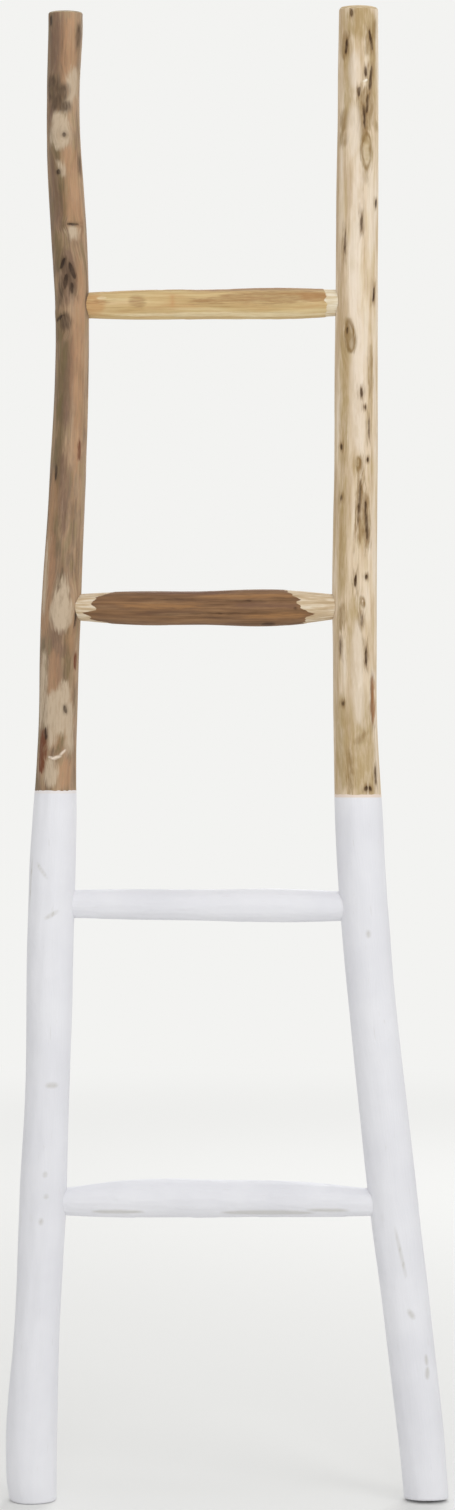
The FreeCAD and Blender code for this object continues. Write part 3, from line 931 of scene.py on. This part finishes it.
def white_paint(name, pole_name=None):
    """Matt paint; on a pole it thins towards the taped line, from some mm below it."""
    material, tree, shader = new_material(name, {"Roughness": 0.6, "Specular IOR Level": 0.4})
    place = own_place(tree)
    cloudy = add(tree, "ShaderNodeTexNoise", {"Vector": place, "Scale": 14.0, "Detail": 3.0}).outputs[0]
    colour = ramp(tree, cloudy, ((0.35, "#e4e4e9"), (0.65, "#ebebef")))
    scuffed = remap(tree, grain_noise(tree, **SCUFFS), 0.66, 0.82, 0.0, 0.35)
    colour = lay_over(tree, colour, linear("#c3bfb6"), scuffed)
    # Grey where the dark marks lie: dots and streaks in the poles' paint, and long bands along the
    # lower front of the bottom rung.
    grey_where_marked = remap(tree, named(tree, "dark")["Fac"], 1.6, -1.6, 0.0, 0.5)
    colour = lay_over(tree, colour, linear("#b9b5ab"), grey_where_marked)
    if pole_name is not None:
        line = PAINT_LINE[pole_name]
        height = add(tree, "ShaderNodeSeparateXYZ", {0: place}).outputs[2]
        thin = remap(tree, height, (line - THIN_FROM) * MM, (line - THIN_TO) * MM,
                     0.0, THIN_PAINT[pole_name])
        colour = lay_over(tree, colour, linear("#ead2bd"), thin)
    coat = calc(tree, "MULTIPLY_ADD", grain_noise(tree, **BRUSH_DABS), 2.0,
                grain_noise(tree, **BRUSH_HAIRS))
    finish_surface(tree, shader, colour, coat, 0.35, 0.4)
    return material


paints = {pole_name: white_paint("matt_white_paint_" + pole_name, pole_name)
          for pole_name in PAINT_LINE}
rung_paint = white_paint("matt_white_paint_rungs")
print("paints:", [paint.name for paint in (*paints.values(), rung_paint)])

# %% [markdown]
# ## Zinc-plated steel
#
# The screws are bright zinc over steel: a metal with a slightly blue, milky shine and a
# fine mottle.

# %% Zinc
zinc, zinc_tree, zinc_shader = new_material("zinc_plated_steel", {"Roughness": 0.38, "Metallic": 1.0})
zinc_mottle = add(zinc_tree, "ShaderNodeTexNoise",
                  {"Vector": own_place(zinc_tree), "Scale": 700.0, "Detail": 3.0}).outputs[0]
zinc_colour = ramp(zinc_tree, zinc_mottle, ((0.3, "#a9abae"), (0.7, "#c9cbcd")))
zinc_tree.links.new(zinc_colour, zinc_shader.inputs["Base Color"])
print("metal:", zinc.name)

# %% [markdown]
# ## Numbers that ride on a mesh's points
#
# A mesh can carry a number for each of its points.  The scene uses this to tell a
# material where it is on a branch and how far a knot or the skin's edge is.

# %% Points and their numbers
NO_MARK = 20.0


def store(mesh, name, values):
    """Keeps one number, or three, for each point of the mesh."""
    kind, field = ("FLOAT", "value") if values.ndim == 1 else ("FLOAT_VECTOR", "vector")
    layer = mesh.attributes.new(name, kind, "POINT")
    layer.data.foreach_set(field, values.astype(np.float32).ravel())


def points_of(mesh):
    """The mesh's points in millimetres."""
    return read(mesh.vertices, "co") / MM


def turn_of(sideways, backwards):
    """Degrees from the front towards a side, from the place beside a branch's centre."""
    return np.degrees(np.arctan2(sideways, -backwards))


def turn_on_pole(name, places):
    """The turn round a pole of places in millimetres."""
    right, back, _ = spines[name].at(places[:, 2])
    return turn_of(places[:, 0] - right, places[:, 1] - back)

# %% [markdown]
# ## Whittled sticks
#
# A rung is a stick that a knife has rounded: thick midway, thinner at both ends, and
# covered in long shallow flats.  Its shape follows a rule, so Geometry Nodes make it.
# The tree takes a centre line whose points carry the radius, sweeps a circle along it,
# and then presses in the knife's flats.  Each flat is one cell of a Voronoi pattern that
# is much longer than it is wide, and the cell's own middle says which way its flat faces.

# %% Tree: a stick with knife flats
LEAST_LEAN = 0.2
STICK_INPUTS = {
    "Length step": ("Float", 1.6 * MM), "Points around": ("Int", 88),
    "Cut length": ("Float", 42 * MM), "Cut width": ("Float", 9 * MM),
    "Cut depth": ("Float", 0.35 * MM), "Seed": ("Float", 0.0), "Material": ("Material", None),
}


def stick_tree():
    tree, entry = new_tree("whittled_stick", STICK_INPUTS)

    def step(operation, *values):
        return calc_vector(tree, operation, *values)

    place = add(tree, "GeometryNodeInputPosition").outputs[0]
    spread = add(tree, "GeometryNodeResampleCurve",
                 {"Curve": entry["Geometry"], "Length": entry["Length step"]}, mode="LENGTH")
    keep = add(tree, "GeometryNodeCaptureAttribute", {"Geometry": spread.outputs["Curve"]})
    keep.capture_items.new("VECTOR", "Axis")
    tree.links.new(place, keep.inputs["Axis"])
    profile = add(tree, "GeometryNodeCurvePrimitiveCircle",
                  {"Resolution": entry["Points around"], "Radius": 1.0})
    tube = add(tree, "GeometryNodeCurveToMesh",
               {"Curve": keep.outputs["Geometry"], "Profile Curve": profile.outputs["Curve"],
                "Scale": add(tree, "GeometryNodeInputRadius").outputs[0], "Fill Caps": True})
    axis = keep.outputs["Axis"]
    outwards = step("SUBTRACT", place, axis)
    radius = step("LENGTH", outwards)
    facing = step("NORMALIZE", outwards)
    cut_size = {0: entry["Cut length"], 1: entry["Cut width"], 2: entry["Cut width"]}
    cell_size = add(tree, "ShaderNodeCombineXYZ", cut_size).outputs[0]
    moved = step("ADD", step("DIVIDE", place, cell_size), entry["Seed"])
    cells = add(tree, "ShaderNodeTexVoronoi",
                {"Vector": moved, "Scale": 1.0, "Smoothness": 0.25, "Randomness": 0.9},
                feature="SMOOTH_F1")
    middle = step("SUBTRACT", cells.outputs["Position"], entry["Seed"])
    middle = step("SUBTRACT", step("MULTIPLY", middle, cell_size), axis)
    flat_way = step("NORMALIZE", step("MULTIPLY", middle, (0, 1, 1)))
    lean = calc(tree, "MAXIMUM", step("DOT_PRODUCT", facing, flat_way), LEAST_LEAN)
    pressed = calc(tree, "DIVIDE", calc(tree, "SUBTRACT", radius, entry["Cut depth"]), lean)
    least = calc(tree, "MINIMUM", radius, pressed)
    shaped = add(tree, "GeometryNodeSetPosition",
                 {"Geometry": tube.outputs["Mesh"],
                  "Position": step("ADD", step("MULTIPLY", facing, least), axis)})
    close_tree(tree, shaped.outputs[0], entry["Material"])
    return tree


whittled_stick = stick_tree()
print("nodes in the stick's tree:", len(whittled_stick.nodes))

# %% [markdown]
# ## The rungs' centre lines and ends
#
# A rung's cuts are read between the two poles, and its line is run on into them.  There
# the stick is cut by the pole's own skin, let out by the joint's gap, so its end is a
# saddle that hugs every lump of the bark.  From the front this saddle is the small dome
# that laps over the pole.  The tenon is joined on, and the screw's hole is drilled.
#
# The second rung still has its brown skin, and the knife has bared pale wood at both
# ends, in tongues that follow its strokes.  The top rung's right end is bared too.  The
# knife went a little deeper there, so the stick is thinner outside the skin's edge.

# %% The edge of the skin
# Points round the rung: the turn in degrees and the place to the right in mm.
SKIN_EDGES = {
    "top_rung": {
        "left": [(0, -400)],
        "right": [(-150, 101), (-70, 98), (-40, 99), (-8, 99.5), (4, 96.5), (20, 99), (70, 96)],
    },
    "second_rung": {
        "left": [(-150, -128), (-82, -116), (-56, -137), (-36, -138.5), (-26, -147), (-12, -131),
                 (13, -136), (40, -131), (66, -118), (90, -112), (150, -136)],
        "right": [(-160, 82), (-74, 76), (-42, 79), (-29, 87), (-14, 78), (14, 68), (25, 73),
                  (42, 66), (62, 60), (90, 58), (140, 76)],
    },
}
SKIN_DEPTH = 0.45
SKIN_STEP = 0.5
SAWTOOTH = {"top_rung": 0.7, "second_rung": 1.6}


def skin_distance(name, turn, along):
    """How far in mm a point lies inside the rung's skin, negative where it is bared."""
    if name not in SKIN_EDGES:
        return np.full(len(turn), NO_MARK)
    edges = []
    for side in SIDES:
        faces, places = np.array(SKIN_EDGES[name][side], dtype=float).T
        edges.append(np.interp(turn, faces, places, period=360))
    jagged = SAWTOOTH[name] * waves(turn, along, (5, 22), (20, 60), 41)
    away = np.minimum(along - edges[0], edges[1] - along) + jagged
    return np.clip(away, -NO_MARK, NO_MARK)


def places_on(rung, places):
    """The turn round a rung at places on it, and its centre and radius there."""
    back, height, radius = spines[rung].at(places[:, 0])
    turn = turn_of(places[:, 2] - height, places[:, 1] - back)
    return turn, np.stack((places[:, 0], back, height), 1), radius


def sink_bared(rung, mesh):
    """Lowers the stick's surface where the knife has taken the skin off."""
    places = points_of(mesh)
    turn, axis, _ = places_on(rung, places)
    sunk = SKIN_DEPTH * smooth(SKIN_STEP, -SKIN_STEP, skin_distance(rung, turn, places[:, 0]))
    outwards = places - axis
    size = np.maximum(np.linalg.norm(outwards[:, 1:], axis=1), SKIN_DEPTH)
    outwards[:, 1:] *= (1 - sunk / size)[:, None]
    mesh.vertices.foreach_set("co", ((axis + outwards) * MM).astype(np.float32).ravel())
    mesh.update()


# %% Make the rungs
SHOULDER_GAP = 0.2
PAINTED_GAP = 0.07
PAINTED_RUNGS = ("third_rung", "bottom_rung")
RUNG_FINISH = {"top_rung": yellow_teak, "second_rung": brown_teak, "third_rung": rung_paint,
               "bottom_rung": rung_paint}
STEP_ALONG = 4.0
KNIFE_LET_OUT = 0.35
PAST_SILHOUETTE = 1.5
CUTTER_REACH = 42.0
TENON_REACH = 40.0
TENON_CHAMFER = 1.5
RUNG_CUTS = {
    "top_rung": {"Cut length": 46 * MM, "Cut width": 10 * MM, "Cut depth": 0.4 * MM, "Seed": 3.7},
    "second_rung": {"Cut length": 60 * MM, "Cut width": 8 * MM, "Cut depth": 0.25 * MM, "Seed": 9.2},
    "third_rung": {"Cut length": 50 * MM, "Cut width": 10 * MM, "Cut depth": 0.35 * MM, "Seed": 15.4},
    "bottom_rung": {"Cut length": 38 * MM, "Cut width": 11 * MM, "Cut depth": 0.45 * MM, "Seed": 21.9},
}


def rung_spine(name):
    """The rung's line, cut between the poles' outlines and run on to their middles."""
    height = sum(corner.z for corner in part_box(name)) / 2 / MM
    left, _, left_radius = spines["left_pole"].at(height)
    right, _, right_radius = spines["right_pole"].at(height)
    return Spine(name, RIGHT, left + left_radius + PAST_SILHOUETTE,
                 right - right_radius - PAST_SILHOUETTE, STEP_ALONG, left, right)


def stick_curve(spine):
    """The rung's centre line as a curve whose points carry the radius."""
    line = bpy.data.curves.new(spine.name + "_line", "CURVE")
    line.dimensions = "3D"
    spline = line.splines.new("POLY")
    spline.points.add(len(spine.levels) - 1)
    for point, level, (back, height, radius) in zip(spline.points, spine.levels, spine.rows):
        point.co = (level * MM, back * MM, height * MM, 1.0)
        point.radius = (radius + KNIFE_LET_OUT) * MM
    return put_in_scene(spine.name + "_line", line)


def saddle_tool(pole_name, height, gap):
    """A closed length of the pole round this height, let out by the joint's gap."""
    rows = [(level, 0.0, 1.0) for level in np.arange(height - CUTTER_REACH,
                                                      height + CUTTER_REACH, RING_STEP_BARE)]
    return skin_mesh("saddle", skin_points(pole_name, rows, gap))


def tenon_tool(joint):
    """The round tenon with its chamfered tip, from the tip to well inside the rung."""
    radius = joint["radius"]
    outline = ((0, radius - TENON_CHAMFER), (TENON_CHAMFER, radius), (TENON_REACH, radius))
    return turned("tenon", outline, joint["tip"], (joint["inwards"], 0, 0))


rungs = {}
for rung_name in RUNG_NAMES:
    spines[rung_name] = rung_spine(rung_name)
    stick = grow(stick_curve(spines[rung_name]), whittled_stick,
                 {**RUNG_CUTS[rung_name], "Material": RUNG_FINISH[rung_name]})
    sink_bared(rung_name, stick)
    rung_object = put_in_scene("whittled_" + rung_name, stick)
    ends = [joint for joint in joints if joint["rung"] == rung_name]
    gap = PAINTED_GAP if rung_name in PAINTED_RUNGS else SHOULDER_GAP
    saddles = [saddle_tool(joint["side"] + "_pole", joint["tip"].z, gap) for joint in ends]
    boolean(rung_object, saddles, "DIFFERENCE")
    boolean(rung_object, [tenon_tool(joint) for joint in ends], "UNION")
    boolean(rung_object, [screw_tool(joint) for joint in ends], "DIFFERENCE")
    rungs[rung_name] = rung_object
    print(rung_object.name, len(rung_object.data.polygons), "faces")

# %% [markdown]
# ## Where the grain runs and where the marks are
#
# A material needs to know two things at each point of a branch: which way its fibres run,
# and how far it is from the nearest knot, crack or stain.  Both could be UV maps, but a
# map has a seam.  Here they are attributes of the points.  "grain" is the point's place
# on the branch as if it were unbent: round it in x and y, and along it in z.  Near a knot
# it is drawn sideways, so the fibres swerve round the knot.  Each mark is a distance in
# millimetres to its edge, which stays sharp however coarse the mesh is.

# %% Places on a branch
SWERVE = 0.45
SWERVE_FROM, SWERVE_TO = 0.6, 0.3


def unbent(turn, along):
    """The place on a straight round stick that stands for this place on the branch."""
    angle = np.radians(turn)
    return np.stack((GRAIN_RADIUS * np.sin(angle), -GRAIN_RADIUS * np.cos(angle), along), 1)


def store_marks(mesh, turn, along, radius, marks):
    """Keeps each point's distance to the nearest mark of every kind."""
    for mark in MARK_NAMES:
        away = np.full(len(turn), NO_MARK)
        for row in marks.get(mark, ()):
            away = np.minimum(away, oval_distance(turn, along, row, radius))
        store(mesh, mark, np.clip(away, -NO_MARK, NO_MARK))


for pole_name, pole_object in poles.items():
    pole_places = points_of(pole_object.data)
    pole_height = pole_places[:, 2]
    pole_turn = turn_on_pole(pole_name, pole_places)
    pole_radius = spines[pole_name].at(pole_height)[2]
    store_marks(pole_object.data, pole_turn, pole_height, pole_radius, POLES[pole_name]["marks"])
    swerved = pole_turn.copy()
    for *row, _ in POLES[pole_name]["relief"]:
        away = oval_distance(pole_turn, pole_height, row, pole_radius)
        near = smooth(row[3] * SWERVE_FROM, -row[3] * SWERVE_TO, away)
        swerved -= SWERVE * near * wrapped(pole_turn - row[1])
    store(pole_object.data, "grain", unbent(swerved, pole_height))
print("kinds of marks on each point:", len(MARK_NAMES))

# %% [markdown]
# ## Marks on the rungs
#
# The top rung is yellow heartwood with browner stretches, and dark flecks lie in the
# second rung's skin.  Places on a rung are millimetres to the right of the ladder's
# middle, and the turn round the rung in degrees, 0 at the front and positive upwards.

# %% Rung marks
RUNG_MARKS = {
    "top_rung": {
        "pale": [(-126, 26, 9, 4, 0), (-20, -50, 190, 5, 0), (60, -58, 100, 4, 0)],
        "brown": [(-130, 11, 16, 1.6, 0), (-90, 8, 16, 11, 0), (50, 20, 120, 14, 0),
                  (20, 70, 160, 5, 0), (35, 10, 8, 1.4, 0), (-10, 10, 50, 5, 2)],
        "orange": [(-134, 0, 22, 24, 0), (-55, 8, 3, 12, 0), (88, 20, 30, 9, 0)],
        "purple": [(40, 62, 150, 6, 0)],
    },
    "second_rung": {
        "dark": [(41, -66, 14, 8, 0), (-60, 30, 60, 1.4, 0), (0, -20, 80, 1.2, 1),
                 (30, 20, 70, 1.2, -1), (68, -6, 3, 3, 0)],
        "orange": [(-70, 5, 70, 4, 0), (20, 40, 90, 4, 0), (50, -30, 60, 5, 0)],
        "purple": [(-40, 60, 90, 5, 0), (40, 5, 60, 4, 0)],
    },
    "third_rung": {},
    # The bottom rung is drawn greyer in long bands along its lower front.
    "bottom_rung": {"dark": [(40, -42, 90, 6, 0), (-110, -38, 50, 5, 0), (100, -30, 40, 4, 0)]},
}
for rung_name, rung_object in rungs.items():
    rung_places = points_of(rung_object.data)
    rung_along = rung_places[:, 0]
    rung_turn, _, rung_radius = places_on(rung_name, rung_places)
    store_marks(rung_object.data, rung_turn, rung_along, rung_radius, RUNG_MARKS[rung_name])
    store(rung_object.data, "skin", skin_distance(rung_name, rung_turn, rung_along))
    store(rung_object.data, "grain", unbent(rung_turn, rung_along))
print("marks on the rungs:", sum(len(rows) for marks in RUNG_MARKS.values() for rows in marks.values()))

# %% [markdown]
# ## Wood screws
#
# Eight zinc-plated countersunk screws hold the tenons.  They are all alike, so one
# Geometry Nodes tree makes a screw and sets it at each place: a cone for the head, a
# shank, a spiral ridge for the thread, and a cross recess cut into the head.  Each screw
# stopped at its own angle when it was driven, and a seeded random value turns it.

# %% Tree: screws at points
SCREW_SIDES = 40
TIP_RADIUS = 0.1
THREAD_SHARE = 0.6
THREAD_STEPS = 24
SCREW_INPUTS = {
    "Head radius": ("Float", 4 * MM), "Shank radius": ("Float", 2 * MM),
    "Core radius": ("Float", 1.4 * MM), "Length": ("Float", 25 * MM),
    "Head depth": ("Float", 2.4 * MM), "Point length": ("Float", 4 * MM),
    "Thread pitch": ("Float", 1.8 * MM), "Recess width": ("Float", 1.1 * MM),
    "Recess span": ("Float", 4.6 * MM), "Recess depth": ("Float", 1.7 * MM),
    "Seed": ("Int", 5), "Material": ("Material", None),
}


def screw_tree():
    """A screw at each point, its head's top there and its tip towards the front."""
    tree, entry = new_tree("driven_screws", SCREW_INPUTS)

    def lowered(mesh, depth):
        drop = add(tree, "ShaderNodeCombineXYZ", {2: calc(tree, "MULTIPLY", depth, -1.0)}).outputs[0]
        return add(tree, "GeometryNodeTransform", {"Geometry": mesh, "Translation": drop}).outputs[0]

    def cone(top, bottom, depth, lower_end):
        made = add(tree, "GeometryNodeMeshCone", {"Vertices": SCREW_SIDES, "Radius Top": top,
                                                  "Radius Bottom": bottom, "Depth": depth})
        return lowered(made.outputs["Mesh"], lower_end)

    def joined(*pieces):
        made = add(tree, "GeometryNodeJoinGeometry")
        for piece in pieces:
            tree.links.new(piece, made.inputs[0])
        return made.outputs[0]

    core = entry["Core radius"]
    shank_length = calc(tree, "SUBTRACT", entry["Length"], entry["Point length"])
    thread_length = calc(tree, "MULTIPLY", shank_length, THREAD_SHARE)
    head = cone(entry["Head radius"], entry["Shank radius"], entry["Head depth"], entry["Head depth"])
    shank = cone(core, core, shank_length, shank_length)
    tip = cone(core, TIP_RADIUS * MM, entry["Point length"], entry["Length"])
    rounds = calc(tree, "DIVIDE", thread_length, entry["Thread pitch"])
    spiral = add(tree, "GeometryNodeCurveSpiral",
                 {"Resolution": THREAD_STEPS, "Rotations": rounds, "Start Radius": core,
                  "End Radius": core, "Height": thread_length})
    ridge = add(tree, "GeometryNodeCurvePrimitiveCircle",
                {"Resolution": 3, "Radius": calc(tree, "SUBTRACT", entry["Shank radius"], core)})
    thread = add(tree, "GeometryNodeCurveToMesh",
                 {"Curve": spiral.outputs[0], "Profile Curve": ridge.outputs["Curve"],
                  "Fill Caps": True})
    slot_size = add(tree, "ShaderNodeCombineXYZ",
                    {0: entry["Recess span"], 1: entry["Recess width"],
                     2: calc(tree, "MULTIPLY", entry["Recess depth"], 2.0)})
    slot = add(tree, "GeometryNodeMeshCube", {"Size": slot_size.outputs[0]}).outputs[0]
    crossed = add(tree, "GeometryNodeTransform",
                  {"Geometry": slot, "Rotation": (0, 0, math.pi / 2)}).outputs[0]
    countersunk = add(tree, "GeometryNodeMeshBoolean",
                      {"Mesh 1": head, "Mesh 2": joined(slot, crossed), "Self Intersection": True},
                      operation="DIFFERENCE", solver="EXACT")
    screw = joined(countersunk.outputs["Mesh"], shank, tip,
                   lowered(thread.outputs["Mesh"], shank_length))
    spin = add(tree, "FunctionNodeRandomValue", {"Min": (0, 0, 0), "Max": (0, 0, 2 * math.pi),
                                                 "Seed": entry["Seed"]}, data_type="FLOAT_VECTOR")
    driven = add(tree, "FunctionNodeRotateRotation",
                 {"Rotation": (math.radians(-90), 0, 0), "Rotate By": spin.outputs[0]},
                 rotation_space="LOCAL")
    placed = add(tree, "GeometryNodeInstanceOnPoints",
                 {"Points": entry["Geometry"], "Instance": screw, "Rotation": driven.outputs[0]})
    close_tree(tree, placed.outputs[0], entry["Material"])
    return tree

# %% Make the screws
screw_places = bpy.data.meshes.new("screw_places")
screw_places.from_pydata([joint["head"] * MM for joint in joints], [], [])
screw_mesh = grow(put_in_scene("screw_places", screw_places), screw_tree(), {
    "Head radius": joints[0]["head_radius"] * MM, "Length": joints[0]["screw_length"] * MM,
    "Material": zinc})
screws = put_in_scene("zinc_wood_screws", screw_mesh)
print("screws:", len(joints), "with", len(screw_mesh.polygons), "faces in all")

# %% [markdown]
# ## Dressing the pieces
#
# One pole carries three finishes, so its faces are shared out by place: paint below the
# taped line, end grain on the sawn top, and bare wood for the rest.  The line is an edge
# of the mesh, so no face has two finishes.  A rung has one finish, which its tree gave
# it, and the tongues of bared wood lie in that material.

# %% Share out the faces
BARK, PAINT, END = 0, 1, 2
END_DEPTH = 8.0
END_FACING = 0.4
BARK_FINISH = {"left_pole": greyed_teak, "right_pole": pale_teak}
for pole_name, pole_object in poles.items():
    mesh = pole_object.data
    mesh.materials.clear()
    for material in (BARK_FINISH[pole_name], paints[pole_name], sawn_ends[pole_name]):
        mesh.materials.append(material)
    middles = read(mesh.polygons, "center") / MM
    upwards = read(mesh.polygons, "normal")[:, 2]
    line = PAINT_LINE[pole_name]
    edge = line + line_creep(turn_on_pole(pole_name, middles), line, pole_name)
    finish = np.where(middles[:, 2] < edge, PAINT, BARK)
    finish[(middles[:, 2] > spines[pole_name].high - END_DEPTH) & (upwards > END_FACING)] = END
    mesh.polygons.foreach_set("material_index", finish.astype(np.int32))
    print(pole_name, "faces of bark, paint and end grain:", np.bincount(finish).tolist())

# %% Smooth shading and bodies
CREASE = math.radians(38)
for node_name, piece in {**poles, **rungs}.items():
    piece.data.shade_smooth()
    piece.data.set_sharp_from_angle(angle=CREASE)
    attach(piece, "root")
    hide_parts(node_name)
screws.data.shade_smooth()
screws.data.set_sharp_from_angle(angle=CREASE)
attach(screws, "root")
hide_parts(*[joint["rung"] + "_screw_" + joint["side"] for joint in joints])
print("pieces dressed:", len(poles) + len(rungs) + 1)

# %% [markdown]
# ## Floor, light and camera
#
# The photo is a studio shot: soft light from the upper right and from the front, more
# light from behind that keeps the edges bright, and a camera far enough away that the
# poles' feet and tops bulge only a little.  The floor is pale and fades into the pale
# background, and it keeps the shadow of the feet.

# %% Floor
FLOOR_HALF = 30.0
FADE_NEAR, FADE_FAR = 1.5, 5.0
BACKDROP = "#f3f3f1"
floor_mesh = bpy.data.meshes.new("floor")
floor_corners = [(x * FLOOR_HALF, y * FLOOR_HALF, 0) for x, y in ((-1, -1), (1, -1), (1, 1), (-1, 1))]
floor_mesh.from_pydata(floor_corners, [], [(0, 1, 2, 3)])
floor = put_in_scene("floor", floor_mesh)
floor_paint, floor_tree, floor_shader = new_material(
    "pale_floor", {"Roughness": 0.9, "Base Color": linear("#e9e9e7")})
floor_away = calc_vector(floor_tree, "LENGTH", own_place(floor_tree))
floor_fade = remap(floor_tree, floor_away, FADE_NEAR, FADE_FAR, slope="SMOOTHSTEP")
floor_glow = add(floor_tree, "ShaderNodeEmission", {"Color": linear(BACKDROP)}).outputs[0]
floor_mix = add(floor_tree, "ShaderNodeMixShader",
                {0: floor_fade, 1: floor_shader.outputs[0], 2: floor_glow}).outputs[0]
floor_tree.links.new(floor_mix, floor_tree.nodes["Material Output"].inputs["Surface"])
floor_mesh.materials.append(floor_paint)
print("floor in m:", 2 * FLOOR_HALF, "a side")

# %% World
SKY_STRENGTH = 0.59
scene = bpy.context.scene
scene.view_settings.view_transform = "Standard"
world = bpy.data.worlds.new("studio")
world.use_nodes = True
scene.world = world
world_tree = world.node_tree
rays = add(world_tree, "ShaderNodeLightPath").outputs
seen = calc(world_tree, "MAXIMUM", rays["Is Camera Ray"], rays["Is Glossy Ray"])
seen = calc(world_tree, "MAXIMUM", seen, rays["Is Transmission Ray"])
sky = world_tree.nodes["Background"]
sky.inputs["Color"].default_value = linear("#ffffff")
sky.inputs["Strength"].default_value = SKY_STRENGTH
shown = add(world_tree, "ShaderNodeBackground", {"Color": linear(BACKDROP), "Strength": 1.0})
both = add(world_tree, "ShaderNodeMixShader", {0: seen, 1: sky.outputs[0], 2: shown.outputs[0]})
world_tree.links.new(both.outputs[0], world_tree.nodes["World Output"].inputs["Surface"])
print("background:", BACKDROP)

# %% Lamps
LIT_PLACE = Vector((0, 0, 0.8))
# Place and size across in metres, and power in watts.
LAMPS = {
    "key": ((2.6, -3.2, 3.0), 2.4, 32.0),
    "front": ((0.3, -3.9, 1.6), 2.0, 28.0),
    "top": ((0, -0.4, 4.2), 2.0, 14.0),
    "rear": ((0.8, 3.4, 2.6), 2.4, 53.0),
}
for lamp_name, (place, size, power) in LAMPS.items():
    light = bpy.data.lights.new(lamp_name, "AREA")
    light.shape = "DISK"
    light.size = size
    light.energy = power
    lamp = put_in_scene(lamp_name, light)
    lamp.location = place
    lamp.rotation_euler = (LIT_PLACE - Vector(place)).to_track_quat("-Z", "Y").to_euler()
print("lamps:", len(LAMPS), "with", sum(row[2] for row in LAMPS.values()), "W")

# %% [markdown]
# The photo's frame is 455 by 1510 pixels.  One pixel is worth the same length on the
# plane through the poles' middles everywhere, so the frame's height there gives the
# lens.  The camera looks straight at that plane from mid-height.

# %% Camera
PHOTO_WIDTH, PHOTO_HEIGHT = 455, 1510
PIXEL = 1.00334 * MM
MIDDLE_PIXEL = 227.45
FLOOR_PIXEL = 1500.0
CAMERA_DISTANCE = 3.6
SENSOR = 36.0
CLIP_NEAR, CLIP_FAR = 0.1, 200.0
camera_data = bpy.data.cameras.new("photo_camera")
camera_data.sensor_width = SENSOR
camera_data.lens = SENSOR * CAMERA_DISTANCE / (PHOTO_HEIGHT * PIXEL)
camera_data.clip_start, camera_data.clip_end = CLIP_NEAR, CLIP_FAR
camera = put_in_scene("photo_camera", camera_data)
camera.location = ((PHOTO_WIDTH / 2 - MIDDLE_PIXEL) * PIXEL, -CAMERA_DISTANCE,
                   (FLOOR_PIXEL - PHOTO_HEIGHT / 2) * PIXEL)
camera.rotation_euler = (math.radians(90), 0, 0)
scene.camera = camera
print("lens in mm:", round(camera_data.lens, 1))
